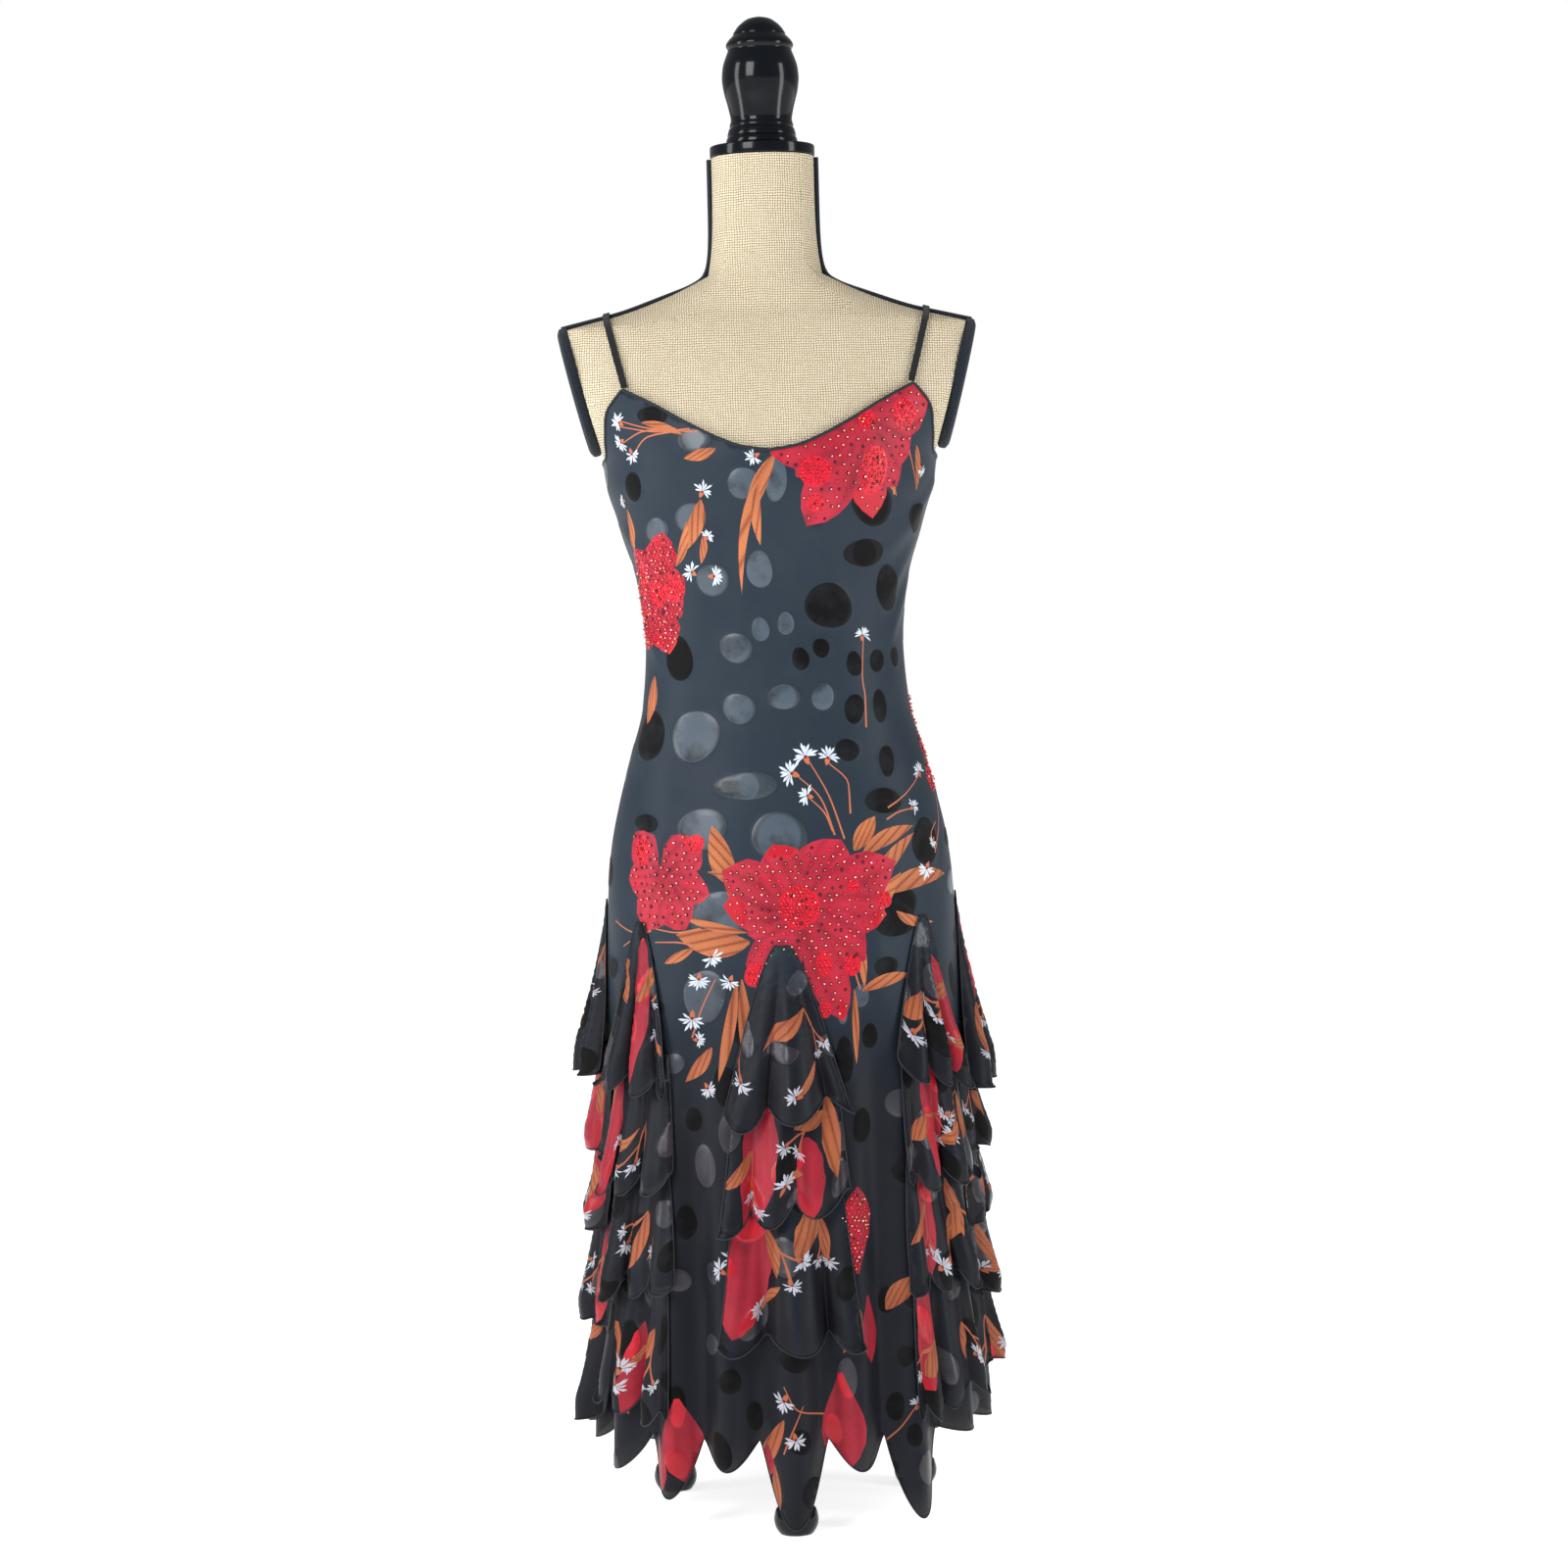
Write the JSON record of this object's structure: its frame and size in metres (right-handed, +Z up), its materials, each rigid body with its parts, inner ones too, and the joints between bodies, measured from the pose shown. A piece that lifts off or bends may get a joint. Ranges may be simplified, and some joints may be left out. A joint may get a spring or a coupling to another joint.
{
  "type": "slip dress on dress form",
  "caption": "Sleeveless slip dress with thin straps, ruffle columns and a pointed hem, on a limbless burlap dress form with a turned finial and tripod stand.",
  "frame": {"origin": "on the floor, under the pole, at the middle of the stand", "axes": "+Z up along the pole, -Y out of the dress's front, +X to the right of someone facing the front"},
  "size_m": [0.4046, 0.362, 1.35],
  "materials": {
    "chiffon": "burnt-out chiffon with velvet dots, printed flowers and leaves",
    "burlap": "plain woven burlap",
    "plate_cloth": "smooth cotton",
    "braid": "knitted braid",
    "black_wood": "black gloss paint"
  },
  "bodies": {
    "root": {"arm_braid_left": "braid", "arm_braid_right": "braid", "arm_plate_left": "plate_cloth", "arm_plate_right": "plate_cloth", "dress_back": "chiffon", "dress_front": "chiffon", "finial": "black_wood", "form_torso": "burlap", "neck_plate": "black_wood", "ruffle_back_1": "chiffon", "ruffle_back_2": "chiffon", "ruffle_back_3": "chiffon", "ruffle_back_4": "chiffon", "ruffle_back_left_1": "chiffon", "ruffle_back_left_2": "chiffon", "ruffle_back_left_3": "chiffon", "ruffle_back_left_4": "chiffon", "ruffle_back_right_1": "chiffon", "ruffle_back_right_2": "chiffon", "ruffle_back_right_3": "chiffon", "ruffle_back_right_4": "chiffon", "ruffle_center_1": "chiffon", "ruffle_center_2": "chiffon", "ruffle_center_3": "chiffon", "ruffle_front_left_1": "chiffon", "ruffle_front_left_2": "chiffon", "ruffle_front_left_3": "chiffon", "ruffle_front_left_4": "chiffon", "ruffle_front_right_1": "chiffon", "ruffle_front_right_2": "chiffon", "ruffle_front_right_3": "chiffon", "ruffle_front_right_4": "chiffon", "ruffle_side_left_1": "chiffon", "ruffle_side_left_2": "chiffon", "ruffle_side_left_3": "chiffon", "ruffle_side_left_4": "chiffon", "ruffle_side_left_5": "chiffon", "ruffle_side_right_1": "chiffon", "ruffle_side_right_2": "chiffon", "ruffle_side_right_3": "chiffon", "ruffle_side_right_4": "chiffon", "ruffle_side_right_5": "chiffon", "seam_braid_left": "braid", "seam_braid_right": "braid", "stand_foot_back_left": "black_wood", "stand_foot_back_right": "black_wood", "stand_foot_front": "black_wood", "stand_hub": "black_wood", "stand_leg_back_left": "black_wood", "stand_leg_back_right": "black_wood", "stand_leg_front": "black_wood", "stand_pole": "black_wood", "strap_left": "chiffon", "strap_right": "chiffon"}
  },
  "joints": []
}
